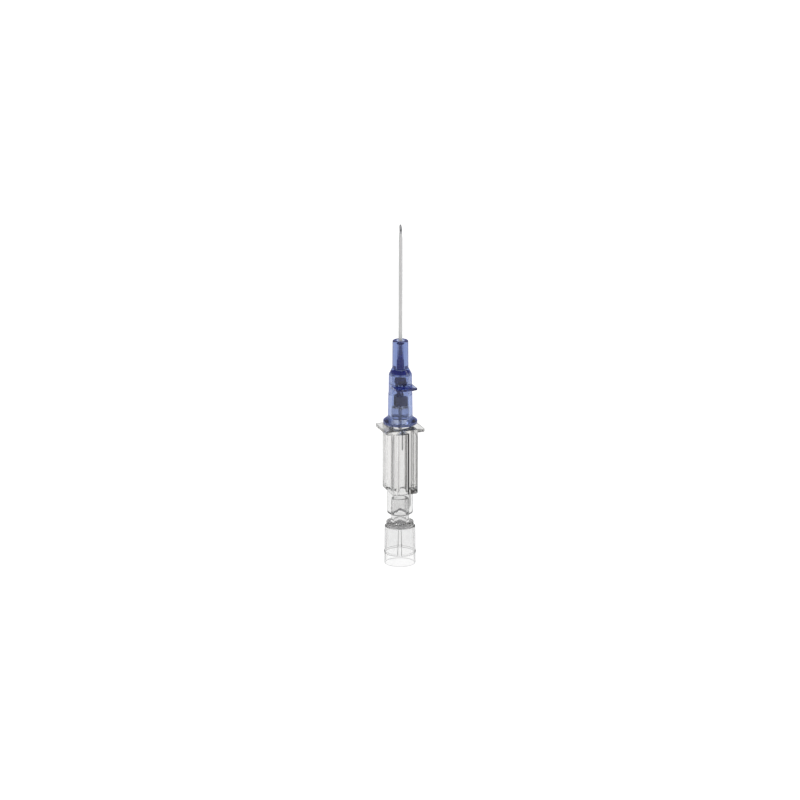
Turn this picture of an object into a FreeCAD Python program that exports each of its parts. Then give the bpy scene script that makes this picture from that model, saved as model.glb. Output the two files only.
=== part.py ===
# A peripheral intravenous cannula of the 22 gauge size (0.9 x 25 mm), standing on its flash plug with the
# needle tip up. All sizes are in millimetres.
#
# Frame: +Z runs along the needle towards its tip, z = 0 is the foot of the flash plug, and -Y is the top of
# the device, the side of the push-off tab and of the needle's bevel. +X is the right side of the grip.
#
# From the foot to the tip: a hollow flash plug with a vent filter closes the flash chamber of a clear needle
# hub. The hub carries the steel needle. A coloured catheter hub sits on the hub's taper, and holds the soft
# catheter tube with a metal eyelet. A spring clip rides on the needle inside the catheter hub.

import FreeCAD, Part
import math
import os

V = FreeCAD.Vector
AXIS = V(0, 0, 1)
CENTRE = V(0, 0, 0)

# Fits
fit_gap = 0.02            # between the two cones of a taper joint
slide_gap = 0.02          # around the needle in what slides along it
seat_gap = 0.02           # between pieces that are assembled face to face in a pocket

# The 6 percent taper of the two conical joints
taper_slope = 0.03        # fall of the radius for each millimetre of depth
taper_mouth_radius = 2.14 # of the female cone, at its mouth

# Flash plug
foot_radius = 3.60
foot_height = 2.55
foot_bore_radius = 3.40
foot_bore_depth = 2.70
bead_swell = 0.10         # of the bead round the plug, between foot and skirt
bead_height = 0.55
skirt_radius = 3.55       # at the front, where it meets the collar
skirt_bore_rear = 3.34
skirt_bore_front = 3.08
skirt_height = 9.10       # from the foot's face to the skirt's shoulder
collar_radius = 3.17
collar_height = 1.10
plug_nose_length = 5.90
plug_bore_radius = 1.50
plug_edge_round = 0.15
slot_width_rear = 0.86    # of the two vent grooves in the skirt's bore
slot_width_front = 0.62
slot_floor_front = 3.28   # distance of the grooves' floor from the axis, at the filter
slot_angle = -111.0       # from +X to the groove on the side of the tab, in degrees

# Vent filter
filter_thickness = 0.44
filter_radius = 2.88
filter_depth = 9.06       # from the foot's face to the filter's rear face

# Needle hub
exposed_nose = 1.80       # of the plug, between its collar and the socket's mouth
socket_depth = 5.00
mouth_lip = 0.16          # wall left at the mouth by the chamfer
mouth_chamfer_length = 0.42
barrel_radius = 2.97
chamber_radius_rear = 1.70
chamber_radius_front = 1.64
chamber_step_length = 0.60
grip_offset = 5.65        # from the socket's mouth to the rear end of the grip
grip_length = 14.90
grip_width = 6.00
grip_height = 7.90
grip_edge_round = 0.30
panel_margin = 0.80
panel_depth = 0.20
panel_corner_round = 1.00
flange_width = 9.40
flange_height = 8.20
flange_thickness = 0.69
flange_corner_round = 0.60
needle_seat_length = 0.25 # solid behind the flange, in which the needle is bonded
chamber_end_cone = 0.50
hub_nose_length = 4.85
bond_well_radius = 0.75
bond_well_depth = 0.70

# Needle
needle_radius = 0.29
needle_bore_radius = 0.19
needle_rear_length = 4.60 # that stands free in the flash chamber
needle_exposed = 2.10     # beyond the end of the catheter tube
bevel_length = 1.90
back_cut_length = 0.85
back_cut_turn = 40.0      # each back facet is turned this far about the needle, in degrees
bump_swell = 0.03         # of the crimp that stops the clip
bump_length = 0.80
bump_from_tip = 6.00

# Catheter hub
hub_mouth_gap = 0.80      # from the needle hub's flange to the catheter hub's rim
rim_radius = 3.95
rim_thickness = 0.72
rim_flare_length = 0.85
rim_edge_round = 0.20
body_radius_rear = 2.86
body_radius_step = 2.78
body_step = 0.08
body_radius_front = 2.67
body_step_offset = 7.15   # from the rim's face to the small step round the body
shoulder_offset = 11.80   # from the rim's face to the start of the shoulder
shoulder_length = 1.60
shoulder_round = 0.80
shoulder_foot_round = 0.50
neck_radius_rear = 1.87
neck_radius_front = 1.82
neck_length = 6.50
neck_edge_round = 0.25
hub_taper_depth = 7.55
clip_chamber_radius = 1.90
clip_chamber_length = 3.95
clip_groove_depth = 0.10
clip_groove_length = 1.10
clip_groove_from_end = 1.90
seat_cone_length = 1.45
funnel_radius = 1.05
funnel_depth = 0.90
tab_half_width = 2.58
tab_reach = 4.95          # from the axis to the middle of the tab's front edge
tab_corner_reach = 4.55
tab_thickness = 0.52
tab_offset = 8.90         # from the rim's face to the tab's rear face
tab_edge_round = 0.12

# Catheter tube
tube_radius = 0.45
tube_bore_radius = 0.335
tube_length = 25.50       # that stands out of the catheter hub
tube_tip_length = 1.40
tube_tip_radius = 0.345
tube_bell_wall = 0.12
tube_bell_radius = 0.86

# Eyelet
eyelet_bore_radius = 0.34
eyelet_wall = 0.09
eyelet_sleeve_length = 2.40
eyelet_lip_length = 0.20

# Safety clip
clip_gap = 0.22           # from the needle hub's nose to the clip's end wall
clip_thickness = 0.14
clip_width = 2.60
clip_height = 2.40
clip_length = 7.00
clip_bend = 0.30
clip_shank_length = 2.45  # of the full-width stretch of each arm
clip_strip_inner = 0.36   # the arms pass the needle outside this distance
clip_strip_width = 0.60
clip_strip_length = 2.60
clip_head_width = 2.20
clip_elbow_reach = 1.30
clip_lip_radius = 0.22

# Places along the axis
z_skirt_front = skirt_height
z_collar_front = z_skirt_front + collar_height
z_filter = filter_depth
z_filter_front = z_filter + filter_thickness
z_socket_mouth = z_collar_front + exposed_nose
z_plug_tip = z_collar_front + plug_nose_length
z_grip_rear = z_socket_mouth + grip_offset
z_flange_rear = z_grip_rear + grip_length
z_flange_front = z_flange_rear + flange_thickness
z_chamber_end = z_flange_rear - needle_seat_length
z_nose_tip = z_flange_front + hub_nose_length
z_rim = z_flange_front + hub_mouth_gap
z_shoulder = z_rim + shoulder_offset
z_neck_rear = z_shoulder + shoulder_length
z_neck_front = z_neck_rear + neck_length
z_clip_chamber = z_rim + hub_taper_depth
z_clip_chamber_end = z_clip_chamber + clip_chamber_length
z_seat_end = z_clip_chamber_end + seat_cone_length
z_tube_tip = z_neck_front + tube_length
z_needle_tip = z_tube_tip + needle_exposed
z_needle_rear = z_chamber_end - needle_rear_length
z_clip_rear = z_nose_tip + clip_gap
z_clip_front = z_clip_rear + clip_length
z_tab_rear = z_rim + tab_offset


def socket_radius(mouth, z):
    """Radius of a female cone at height z, for a cone whose mouth is at height mouth and which narrows upwards."""
    return taper_mouth_radius - taper_slope * (z - mouth)


def plug_radius(mouth, z):
    """Radius at height z of the male cone that fits in that female cone."""
    return socket_radius(mouth, z) - fit_gap


def rounded(corners):
    """A closed wire through corners, each a point and the radius of its round, which may be 0."""
    edges = []
    starts, ends = [], []
    for i, (corner, radius) in enumerate(corners):
        before = corners[i - 1][0]
        after = corners[(i + 1) % len(corners)][0]
        to_before = (before - corner).normalize()
        to_after = (after - corner).normalize()
        if radius <= 0:
            starts.append(corner)
            ends.append(corner)
            edges.append(None)
            continue
        half = to_before.getAngle(to_after) / 2
        run = radius / math.tan(half)
        middle = (to_before + to_after).normalize() * (radius / math.sin(half) - radius)
        starts.append(corner + to_before * run)
        ends.append(corner + to_after * run)
        edges.append(Part.Arc(starts[-1], corner + middle, ends[-1]).toShape())
    path = []
    for i, arc in enumerate(edges):
        if arc is not None:
            path.append(arc)
        following = starts[(i + 1) % len(starts)]
        if ends[i].distanceToPoint(following) > 1e-7:
            path.append(Part.makeLine(ends[i], following))
    return Part.Wire(Part.__sortEdges__(path))


def turned(profile):
    """A solid of revolution from a profile of radius, height and corner round."""
    corners = [(V(r, 0, z), f) for r, z, f in profile]
    return Part.Face(rounded(corners)).revolve(CENTRE, AXIS, 360)


def plate(corners, z, thickness):
    """A flat plate whose outline is given as x, y and corner round, from height z upwards."""
    outline = rounded([(V(x, y, z), f) for x, y, f in corners])
    return Part.Face(outline).extrude(V(0, 0, thickness))


def block(x_from, x_to, y_from, y_to, z_from, z_to):
    """A box between two opposite corners."""
    return Part.makeBox(x_to - x_from, y_to - y_from, z_to - z_from, V(x_from, y_from, z_from))


def cylinder(radius, z_from, z_to):
    """A cylinder on the needle's axis."""
    return Part.makeCylinder(radius, z_to - z_from, V(0, 0, z_from), AXIS)


def single(shape):
    """The one solid of a boolean result, with its split faces merged."""
    merged = shape.removeSplitter()
    return merged.Solids[0] if len(merged.Solids) == 1 else merged


def flash_plug():
    """The stopper of the flash chamber: an open skirt with two vent grooves, an end wall and a conical nose."""
    pocket_radius = filter_radius + seat_gap
    bead_radius = foot_radius + bead_swell
    z_bead = foot_height + bead_height
    shell = turned([
        (foot_bore_radius, 0, 0.04),
        (foot_radius, 0, 0.08),
        (foot_radius, foot_height, 0),
        (bead_radius, foot_height + bead_swell, 0.1),
        (bead_radius, z_bead - bead_swell, 0.1),
        (foot_radius, z_bead, 0),
        (skirt_radius, z_skirt_front, plug_edge_round),
        (collar_radius, z_skirt_front, 0),
        (collar_radius, z_collar_front, plug_edge_round),
        (plug_radius(z_socket_mouth, z_collar_front), z_collar_front, 0),
        (plug_radius(z_socket_mouth, z_plug_tip), z_plug_tip, plug_edge_round),
        (plug_bore_radius, z_plug_tip, 0),
        (plug_bore_radius, z_filter_front, 0),
        (pocket_radius, z_filter_front, 0),
        (pocket_radius, z_filter, 0),
        (skirt_bore_front, z_filter, 0),
        (skirt_bore_rear, foot_bore_depth, 0),
        (foot_bore_radius, foot_bore_depth, 0),
    ])
    return single(shell.cut(vent_grooves()))


def vent_grooves():
    """Two opposite grooves that widen towards the foot, as one wedge across the skirt's bore."""
    rear, front = slot_width_rear / 2, slot_width_front / 2
    reach = foot_radius
    wedge = Part.Face(rounded([
        (V(-reach, -rear, foot_bore_depth), 0),
        (V(-reach, rear, foot_bore_depth), 0),
        (V(-reach, front, z_filter), 0),
        (V(-reach, -front, z_filter), 0),
    ])).extrude(V(2 * reach, 0, 0))
    wedge.rotate(CENTRE, AXIS, slot_angle)
    floor = turned([
        (0, foot_bore_depth, 0),
        (foot_bore_radius, foot_bore_depth, 0),
        (slot_floor_front, z_filter, 0),
        (0, z_filter, 0),
    ])
    return wedge.common(floor)


def vent_filter():
    """The porous disc that lets air out of the flash chamber, under the plug's end wall."""
    return cylinder(filter_radius, z_filter, z_filter_front)


def grip():
    """The block held between finger and thumb, with a shallow sunken panel in each side."""
    x, y = grip_width / 2, grip_height / 2
    solid = block(-x, x, -y, y, z_grip_rear, z_flange_rear + flange_thickness / 2)
    edges = [
        e for e in solid.Edges
        if e.BoundBox.ZLength > 1 or e.BoundBox.ZMax < z_grip_rear + 1e-6
    ]
    solid = solid.makeFillet(grip_edge_round, edges)
    reach = y - panel_margin
    for side in (-1, 1):
        floor = side * (x - panel_depth)
        panel = Part.Face(rounded([
            (V(floor, -reach, z_grip_rear + panel_margin), panel_corner_round),
            (V(floor, reach, z_grip_rear + panel_margin), panel_corner_round),
            (V(floor, reach, z_flange_rear - panel_margin), panel_corner_round),
            (V(floor, -reach, z_flange_rear - panel_margin), panel_corner_round),
        ]))
        solid = solid.cut(panel.extrude(V(side * 2 * panel_depth, 0, 0)))
    return solid


def needle_hub():
    """The clear hub: a socket and flash chamber in a block for the fingers, a flange and a conical nose."""
    mouth_radius = taper_mouth_radius + mouth_lip
    core = turned([
        (0, z_socket_mouth, 0),
        (mouth_radius, z_socket_mouth, 0),
        (barrel_radius, z_socket_mouth + mouth_chamfer_length, 0.2),
        (barrel_radius, z_grip_rear + 2 * grip_edge_round, 0),
        (plug_radius(z_rim, z_flange_rear), z_grip_rear + 2 * grip_edge_round, 0),
        (plug_radius(z_rim, z_nose_tip), z_nose_tip, plug_edge_round),
        (bond_well_radius, z_nose_tip, 0),
        (needle_radius, z_nose_tip - bond_well_depth, 0),
        (0, z_nose_tip - bond_well_depth, 0),
    ])
    half_width, half_height = flange_width / 2, flange_height / 2
    flange = plate([
        (-half_width, -half_height, flange_corner_round),
        (half_width, -half_height, flange_corner_round),
        (half_width, half_height, flange_corner_round),
        (-half_width, half_height, flange_corner_round),
    ], z_flange_rear, flange_thickness)
    z_socket_end = z_socket_mouth + socket_depth
    z_chamber = z_socket_end + chamber_step_length
    hollow = turned([
        (0, z_socket_mouth - 1, 0),
        (socket_radius(z_socket_mouth, z_socket_mouth - 1), z_socket_mouth - 1, 0),
        (socket_radius(z_socket_mouth, z_socket_end), z_socket_end, 0),
        (chamber_radius_rear, z_chamber, 0),
        (chamber_radius_front, z_chamber_end - chamber_end_cone, 0.3),
        (needle_radius, z_chamber_end, 0),
        (needle_radius, z_nose_tip, 0),
        (0, z_nose_tip, 0),
    ])
    return single(core.fuse([flange, grip()]).cut(hollow))


def needle():
    """The steel cannula: a drawn tube with a crimp, a long front bevel and two back-cut facets at its point."""
    z_bump = z_needle_tip - bump_from_tip
    tube = turned([
        (needle_bore_radius, z_needle_rear, 0),
        (needle_radius, z_needle_rear, 0.03),
        (needle_radius, z_bump - bump_length / 2, 0.3),
        (needle_radius + bump_swell, z_bump - bump_length / 8, 0.1),
        (needle_radius + bump_swell, z_bump + bump_length / 8, 0.1),
        (needle_radius, z_bump + bump_length / 2, 0.3),
        (needle_radius, z_needle_tip, 0),
        (needle_bore_radius, z_needle_tip, 0),
    ])
    # the front bevel leaves the point on the +Y side, and faces -Y
    clear = 2 * needle_radius
    front = Part.Face(Part.makePolygon([
        V(-clear, needle_radius, z_needle_tip),
        V(-clear, -needle_radius, z_needle_tip - bevel_length),
        V(-clear, -clear, z_needle_tip - bevel_length),
        V(-clear, -clear, z_needle_tip + clear),
        V(-clear, needle_radius, z_needle_tip + clear),
        V(-clear, needle_radius, z_needle_tip),
    ])).extrude(V(2 * clear, 0, 0))
    tube = tube.cut(front)
    # each back facet slopes away from the point towards one side of the tube's back
    lean = math.degrees(math.atan2(needle_radius, back_cut_length))
    for side in (-1, 1):
        wedge = block(-clear * 2, clear * 2, 0, clear * 2, -clear * 3, clear * 3)
        wedge.rotate(CENTRE, V(1, 0, 0), lean)
        wedge.rotate(CENTRE, AXIS, side * back_cut_turn)
        wedge.translate(V(0, needle_radius, z_needle_tip))
        tube = tube.cut(wedge)
    return single(tube)


def catheter_hub():
    """The coloured hub: a round rim, a conical socket, a clip chamber, a narrow neck and a push-off tab."""
    z_step = z_rim + body_step_offset
    z_body = z_rim + rim_thickness + rim_flare_length
    body = turned([
        (0, z_rim, 0),
        (rim_radius, z_rim, rim_edge_round),
        (rim_radius, z_rim + rim_thickness, rim_edge_round),
        (body_radius_rear, z_body, 0.5),
        (body_radius_step, z_step, 0),
        (body_radius_step - body_step, z_step + body_step, 0),
        (body_radius_front, z_shoulder, shoulder_round),
        (neck_radius_rear, z_neck_rear, shoulder_foot_round),
        (neck_radius_front, z_neck_front, neck_edge_round),
        (0, z_neck_front, 0),
    ])
    tab = plate([
        (-tab_half_width, 0, 0),
        (-tab_half_width, -tab_corner_reach, 0.35),
        (-tab_half_width / 2, -tab_reach, 2.0),
        (tab_half_width / 2, -tab_reach, 2.0),
        (tab_half_width, -tab_corner_reach, 0.35),
        (tab_half_width, 0, 0),
    ], z_tab_rear, tab_thickness)
    outer_edges = [e for e in tab.Edges if e.BoundBox.ZLength < 1e-6 and e.BoundBox.YMin < -1e-6]
    tab = tab.makeFillet(tab_edge_round, outer_edges)
    return single(body.fuse(tab).cut(catheter_hub_hollow()))


def bell_outer_radius():
    """Outer radius of the catheter tube where it is widened over the eyelet's sleeve."""
    return eyelet_bore_radius + eyelet_wall + tube_bell_wall


def catheter_hub_hollow():
    """The inside of the catheter hub, from the socket's mouth to the funnel in the neck's face."""
    z_groove_end = z_clip_chamber_end - clip_groove_from_end
    z_groove = z_groove_end - clip_groove_length
    groove_radius = clip_chamber_radius + clip_groove_depth
    z_sleeve_end = z_seat_end + eyelet_sleeve_length
    return turned([
        (0, z_rim - 1, 0),
        (socket_radius(z_rim, z_rim - 1), z_rim - 1, 0),
        (socket_radius(z_rim, z_clip_chamber), z_clip_chamber, 0),
        (clip_chamber_radius, z_clip_chamber, 0),
        (clip_chamber_radius, z_groove, 0),
        (groove_radius, z_groove + clip_groove_depth, 0),
        (groove_radius, z_groove_end - clip_groove_depth, 0),
        (clip_chamber_radius, z_groove_end, 0),
        (clip_chamber_radius, z_clip_chamber_end, 0.3),
        (bell_outer_radius(), z_seat_end, 0),
        (bell_outer_radius(), z_sleeve_end, 0),
        (tube_radius, z_sleeve_end + tube_bell_wall, 0),
        (tube_radius, z_neck_front - funnel_depth, 0),
        (funnel_radius, z_neck_front, 0),
        (funnel_radius, z_neck_front + 1, 0),
        (0, z_neck_front + 1, 0),
    ])


def seat_height(radius):
    """Height at which the hub's inner cone, which clamps the tube's bell, has a given radius."""
    share = (clip_chamber_radius - radius) / (clip_chamber_radius - bell_outer_radius())
    return z_clip_chamber_end + share * seat_cone_length


def catheter_tube():
    """The soft catheter: a thin tube, tapered at its tip, whose rear end is belled over the eyelet."""
    sleeve_radius = eyelet_bore_radius + eyelet_wall
    z_sleeve_end = z_seat_end + eyelet_sleeve_length
    z_bell = seat_height(tube_bell_radius)
    return turned([
        (tube_bell_radius - tube_bell_wall, z_bell, 0),
        (tube_bell_radius, z_bell, 0),
        (bell_outer_radius(), z_seat_end, 0),
        (bell_outer_radius(), z_sleeve_end, 0),
        (tube_radius, z_sleeve_end + tube_bell_wall, 0),
        (tube_radius, z_tube_tip - tube_tip_length, 1.5),
        (tube_tip_radius, z_tube_tip, 0),
        (needle_radius + slide_gap, z_tube_tip, 0),
        (tube_bore_radius, z_tube_tip - tube_tip_length, 0),
        (tube_bore_radius, z_sleeve_end + tube_bell_wall, 0),
        (sleeve_radius, z_sleeve_end, 0),
        (sleeve_radius, z_seat_end, 0),
    ])


def eyelet():
    """The metal eyelet: a sleeve inside the tube's end, with a funnel that guides the needle in."""
    sleeve_radius = eyelet_bore_radius + eyelet_wall
    z_sleeve_end = z_seat_end + eyelet_sleeve_length
    z_bell = seat_height(tube_bell_radius)
    cone_radius = tube_bell_radius - tube_bell_wall
    slope = (cone_radius - sleeve_radius) / (z_seat_end - z_bell)
    lip_radius = cone_radius + slope * eyelet_lip_length
    return turned([
        (lip_radius - eyelet_wall, z_bell - eyelet_lip_length, 0),
        (lip_radius, z_bell - eyelet_lip_length, 0),
        (sleeve_radius, z_seat_end, 0),
        (sleeve_radius, z_sleeve_end, 0),
        (eyelet_bore_radius, z_sleeve_end, 0),
        (eyelet_bore_radius, z_seat_end, 0),
    ])


def clip_arm():
    """One arm of the safety clip. It leaves the end wall at -Y, crosses the needle and ends in a lip at +Y."""
    half_t = clip_thickness / 2
    y_shank = -(clip_height / 2 - half_t)
    y_lip = needle_radius + slide_gap + half_t
    z_wall = z_clip_rear + half_t
    z_shank = z_clip_rear + clip_bend + clip_shank_length
    z_elbow = z_shank + clip_strip_length
    z_lip = z_clip_front - clip_lip_radius
    path = [
        (V(0, y_shank / 2, z_wall), 0),
        (V(0, y_shank, z_wall), clip_bend),
        (V(0, y_shank, z_shank), 0.8),
        (V(0, clip_elbow_reach, z_elbow), 0.45),
        (V(0, y_lip, z_lip), clip_lip_radius),
        (V(0, y_lip + 2 * clip_lip_radius, z_clip_front - half_t), 0),
    ]
    spine = open_path(path)
    x = clip_width / 2
    section = Part.makePolygon([
        V(-x, path[0][0].y, z_wall - half_t),
        V(x, path[0][0].y, z_wall - half_t),
        V(x, path[0][0].y, z_wall + half_t),
        V(-x, path[0][0].y, z_wall + half_t),
        V(-x, path[0][0].y, z_wall - half_t),
    ])
    strip = spine.makePipeShell([section], True, False, 1)
    return strip.common(clip_arm_blank(z_shank, z_elbow))


def open_path(points):
    """An open wire of straight runs joined by arcs, from points with a radius each."""
    edges = []
    last = points[0][0]
    for i in range(1, len(points) - 1):
        corner, radius = points[i]
        to_before = (points[i - 1][0] - corner).normalize()
        to_after = (points[i + 1][0] - corner).normalize()
        half = to_before.getAngle(to_after) / 2
        run = radius / math.tan(half)
        start, end = corner + to_before * run, corner + to_after * run
        middle = corner + (to_before + to_after).normalize() * (radius / math.sin(half) - radius)
        edges.append(Part.makeLine(last, start))
        edges.append(Part.Arc(start, middle, end).toShape())
        last = end
    edges.append(Part.makeLine(last, points[-1][0]))
    return Part.Wire(edges)


def clip_arm_blank(z_shank, z_elbow):
    """What the arm's blank looks like from the front: wide shank, narrow strip on the -X side, wide head."""
    shank, head = clip_width / 2, clip_head_width / 2
    inner, outer = -clip_strip_inner, -clip_strip_inner - clip_strip_width
    slant = 0.45
    corners = [
        (-shank, z_clip_rear, 0),
        (shank, z_clip_rear, 0),
        (shank, z_shank - slant, 0.2),
        (inner, z_shank, 0.2),
        (inner, z_elbow - slant / 2, 0.2),
        (head, z_elbow, 0.2),
        (head, z_clip_front, 0),
        (-head, z_clip_front, 0),
        (-head, z_elbow, 0.2),
        (outer, z_elbow - slant / 2, 0.2),
        (outer, z_shank, 0.2),
        (-shank, z_shank - slant, 0.2),
    ]
    outline = rounded([(V(x, -clip_height, z), f) for x, z, f in corners])
    return Part.Face(outline).extrude(V(0, 2 * clip_height, 0))


def safety_clip():
    """The spring clip that shields the tip: an end wall with a hole, and two arms that cross past the needle."""
    half_t = clip_thickness / 2
    wall = block(
        -clip_width / 2, clip_width / 2,
        -clip_height / 4 - half_t, clip_height / 4 + half_t,
        z_clip_rear, z_clip_rear + clip_thickness,
    )
    arm = clip_arm()
    other = arm.copy()
    other.rotate(CENTRE, AXIS, 180)
    hole = cylinder(needle_radius + slide_gap, z_clip_rear - 1, z_clip_rear + 1)
    return single(wall.fuse([arm, other]).cut(hole))


PIECES = {
    "flash_plug": flash_plug,
    "vent_filter": vent_filter,
    "needle_hub": needle_hub,
    "needle": needle,
    "safety_clip": safety_clip,
    "catheter_hub": catheter_hub,
    "eyelet": eyelet,
    "catheter_tube": catheter_tube,
}


def main():
    os.makedirs("parts", exist_ok=True)
    for name, make in PIECES.items():
        shape = make()
        shape.exportStep(f"parts/{name}.step")
        box = shape.BoundBox
        print(
            f"{name}: {len(shape.Solids)} solid, valid {shape.isValid()}, {shape.Volume:.3f} mm3, "
            f"z {box.ZMin:.2f} to {box.ZMax:.2f}, x {box.XLength:.2f}, y {box.YLength:.2f}"
        )


main()
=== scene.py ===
# %% [markdown]
# # An iv cannula in clear and blue plastic
#
# A thin catheter lies over a hollow steel needle. The needle is bonded into a clear hub with a
# grip for finger and thumb, a plug closes the hub's flash chamber from behind, and a blue hub
# carries the catheter. Nearly every piece is moulded in plastic that light passes through, so
# what the camera sees is mostly refraction: the thickness of each wall and the round of each
# edge matter more than its colour.
#
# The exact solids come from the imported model. They could be shown as they are, but refraction
# shows each of their facets as a stripe. The moulded and drawn pieces are therefore worked out
# again here, from the same sizes, as smooth grids of points. Only the spring clip, which is made
# of flat strip, is shown as it was packed.

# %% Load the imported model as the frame
import math

import bmesh
import bpy
import numpy as np
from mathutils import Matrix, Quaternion, Vector


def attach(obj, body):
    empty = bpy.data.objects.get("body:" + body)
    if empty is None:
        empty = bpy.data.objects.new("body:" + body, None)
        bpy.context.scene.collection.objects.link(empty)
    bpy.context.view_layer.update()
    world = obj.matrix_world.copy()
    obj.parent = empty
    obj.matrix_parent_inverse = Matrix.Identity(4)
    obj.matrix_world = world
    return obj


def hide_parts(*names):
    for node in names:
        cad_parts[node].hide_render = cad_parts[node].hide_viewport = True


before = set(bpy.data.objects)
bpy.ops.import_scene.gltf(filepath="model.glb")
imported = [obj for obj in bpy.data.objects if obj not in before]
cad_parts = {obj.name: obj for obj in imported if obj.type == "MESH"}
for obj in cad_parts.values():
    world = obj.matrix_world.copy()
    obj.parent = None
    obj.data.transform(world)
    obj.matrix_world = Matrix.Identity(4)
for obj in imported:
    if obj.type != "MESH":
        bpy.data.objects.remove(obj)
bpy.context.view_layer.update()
print("nodes:", ", ".join(sorted(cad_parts)))

# %% [markdown]
# ## Sizes
#
# All lengths are in millimetres, as on the maker's drawing, and are divided by 1000 when a mesh
# is made. +Z runs to the needle's tip, z = 0 is the foot that the object stands on, and -Y is
# the side of the push-off tab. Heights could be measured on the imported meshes, but a named
# height that is given once keeps neighbours in their seats and says what it is for.

# %% Heights along the needle, and the luer cone
MILLIMETRE = 0.001
Z_SOCKET = 12.00        # mouth of the clear hub's socket
Z_GRIP = 17.65          # rear end of the grip
Z_FLANGE = 32.55        # rear face of the flange
Z_FLANGE_FRONT = 33.24
Z_RIM = 34.04           # rear face of the blue hub's rim
Z_NOSE_TIP = 38.09      # front end of the clear hub, inside the blue one
Z_TAB = 42.94           # rear face of the push-off tab
Z_SEAT = 46.99          # where the blue hub's inner cone meets the catheter's sleeve
Z_SLEEVE_END = 49.39
Z_BELL_END = 49.51      # where the catheter's bell has narrowed to the tube
Z_NECK_FRONT = 53.94
Z_TUBE_TIP = 79.44
Z_NEEDLE_TIP = 81.54
LUER_MOUTH = 2.14       # radius of a female cone at its mouth
LUER_TAPER = 0.03       # by which the radius falls for each mm of depth
FIT_GAP = 0.02          # between the male and the female cone


def socket_radius(mouth, z):
    """The standard luer cone: its radius at z falls evenly from its mouth on."""
    return LUER_MOUTH - LUER_TAPER * (z - mouth)


def cone_radius(mouth, z):
    """The male cone that sits in a socket, smaller by the gap."""
    return socket_radius(mouth, z) - FIT_GAP


print("the nose is", round(2 * cone_radius(Z_RIM, Z_NOSE_TIP), 3), "mm wide at its tip")

# %% [markdown]
# ## From a profile to a surface
#
# A moulded hub is mostly a turned shape: its profile is drawn once and carried round the axis.
# Blender's Screw modifier could do that, but it knows only circles, and a grip or a tab isn't
# round. The profile here is a closed line in radius and height that goes up the outside and
# comes back down the bore, so one grid that closes both ways is a whole piece with its true
# wall thickness, and no seam or pole is left open. Real moulds have no perfectly sharp outer
# edges, so each corner may be given a round.

# %% A line with rounded corners
def rounded_line(corners, steps=6):
    """Rows of a, b and mark, for a closed line through corners, each (a, b, round).

    A corner with a round gives way to an arc that touches both of its runs: with the half
    angle h between the runs, the arc starts round / tan(h) before the corner, and its centre
    lies round / sin(h) along the bisector. The mark is 1 inside an arc and 0 at its ends and
    elsewhere: it tells the finish where the edges are.
    """
    table = np.array(corners, float)
    here, radius = table[:, :2], table[:, 2:]
    back = np.roll(here, 1, 0) - here
    onward = np.roll(here, -1, 0) - here
    back /= np.linalg.norm(back, axis=1, keepdims=True)
    onward /= np.linalg.norm(onward, axis=1, keepdims=True)
    half = np.arccos(np.clip((back * onward).sum(1, keepdims=True), -1, 1)) / 2
    # a straight run or one that doubles back keeps an angle that can be divided by
    half = np.clip(half, 1e-3, math.pi / 2 - 1e-4)
    bisector = back + onward
    bisector /= np.maximum(np.linalg.norm(bisector, axis=1, keepdims=True), 1e-9)
    centre = here + bisector * radius / np.sin(half)
    first = (here + back * radius / np.tan(half) - centre)[:, None]
    last = (here + onward * radius / np.tan(half) - centre)[:, None]
    turn = (math.pi - 2 * half)[:, None]
    t = np.linspace(0, 1, steps + 1)[None, :, None]
    arc = (np.sin((1 - t) * turn) * first + np.sin(t * turn) * last) / np.sin(turn)
    inside_arc = (t > 0) & (t < 1) & (radius[:, None] > 0)
    points = np.concatenate([centre[:, None] + arc, inside_arc], -1).reshape(-1, 3)
    moved = np.linalg.norm((points - np.roll(points, 1, 0))[:, :2], axis=1) > 1e-6
    return points[moved]


square = rounded_line([(-1, -1, .2), (1, -1, .2), (1, 1, .2), (-1, 1, .2)])
print("a rounded square has", len(square), "points")

# %% A mesh from a grid that closes both ways
def closed_surface(name, grid, marks=None, sharp=28):
    """A mesh object from a grid of points in mm, rows along the profile, columns round the axis.

    The marks are numbers for each point, kept under their names, by which a finish knows
    edges, bores and joints.

    Each face joins four neighbours, and the last row and column join the first. The enclosed
    volume, the sum of a . (b x c) / 6 over the triangles, tells whether the faces look
    outwards.
    """
    rows, columns = grid.shape[:2]
    here = np.arange(rows * columns).reshape(rows, columns)
    right, above = np.roll(here, -1, 1), np.roll(here, -1, 0)
    faces = np.stack([here, right, np.roll(above, -1, 1), above], -1).reshape(-1, 4)
    points = grid.reshape(-1, 3)
    a, b, c, d = (points[faces[:, k]] for k in range(4))
    volume = ((a * np.cross(b, c)).sum() + (a * np.cross(c, d)).sum()) / 6
    if volume < 0:
        faces = faces[:, ::-1]
    mesh = bpy.data.meshes.new(name)
    mesh.from_pydata((points * MILLIMETRE).tolist(), [], faces.tolist())
    for mark, values in (marks or {}).items():
        data = mesh.attributes.new(mark, "FLOAT", "POINT").data
        values = np.broadcast_to(values, (rows, columns)).astype(np.float32)
        data.foreach_set("value", values.ravel())
    print(f"{name}: {rows} rows, {columns} columns, {abs(volume):.2f} mm3")
    return finished(name, mesh, sharp)


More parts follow.
